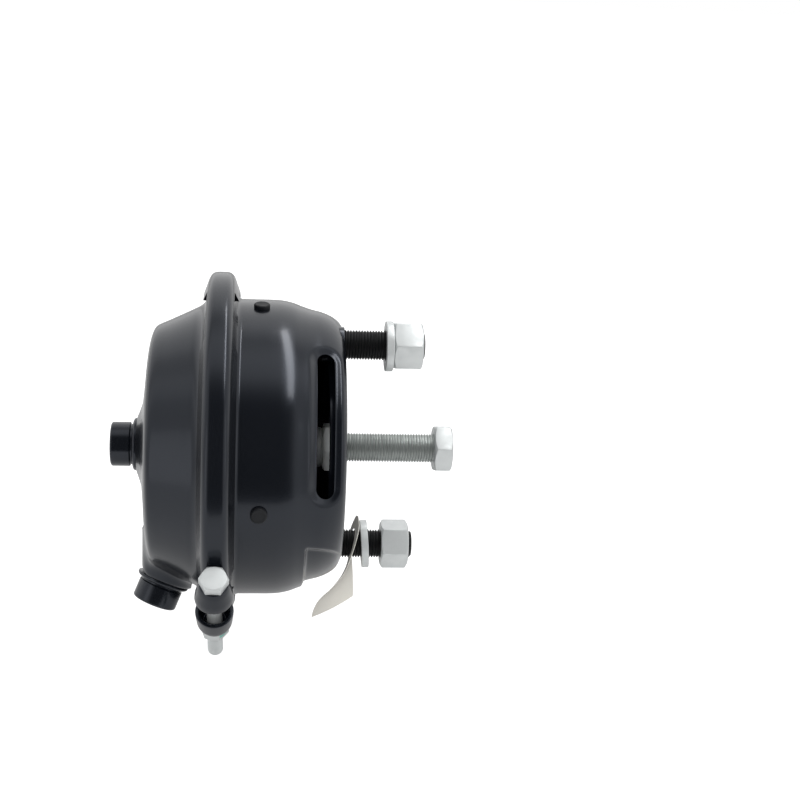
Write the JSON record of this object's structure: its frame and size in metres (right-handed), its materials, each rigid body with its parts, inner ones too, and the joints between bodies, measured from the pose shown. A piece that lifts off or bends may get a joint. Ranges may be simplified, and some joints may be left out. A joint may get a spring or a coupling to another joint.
{
  "type": "air brake chamber",
  "caption": "Pneumatic brake chamber: clamped pressed-steel housings over a diaphragm, sprung push rod with adjusting bolt, port bosses, mounting studs with nuts and washers, and a paper tag.",
  "frame": {"origin": "centre of the mounting face, midway between the two studs", "axes": "+X out of the mounting face along the push rod, +Z along the line of studs, Y across"},
  "size_m": [0.1852, 0.2019, 0.2016],
  "materials": {
    "paint": "glossy dark grey stoved paint",
    "zinc": "bright zinc plate",
    "black_steel": "black oxide",
    "spring_steel": "phosphated wire",
    "rubber": "matt black",
    "plug": "dark blue-black",
    "paper": "uncoated off-white card"
  },
  "bodies": {
    "chamber": {"pressure_housing": "paint", "non_pressure_housing": "paint", "clamp_ring": "paint", "clamp_bolt": "zinc", "clamp_nut": "zinc", "axial_port_boss": "paint", "lower_port_boss": "paint", "diaphragm": "rubber", "return_spring": "spring_steel", "spring_seat": "paint", "upper_stud": "black_steel", "lower_stud": "black_steel", "upper_nut": "zinc", "lower_nut": "zinc", "upper_washer": "zinc", "lower_washer": "zinc", "vent_plug_top": "plug", "vent_plug_front": "plug", "vent_plug_bottom": "plug", "vent_plug_rear": "plug", "paper_tag": "paper"},
    "push_rod": {"push_plate": "zinc", "push_rod": "zinc", "lock_nut": "zinc"},
    "adjusting_bolt": {"adjusting_bolt": "zinc"}
  },
  "joints": [
    {"name": "push_rod_slide", "type": "slide", "parent": "chamber", "child": "push_rod", "axis": [1, 0, 0], "range_m": [0, 0.057], "stiffness_N_per_m": 2600, "springref_m": -0.03, "deforming": ["return_spring", "diaphragm"]},
    {"name": "adjusting_bolt_turn", "type": "hinge", "parent": "push_rod", "child": "adjusting_bolt", "pos_m": [0, 0, 0], "axis": [1, 0, 0], "continuous": true}
  ]
}
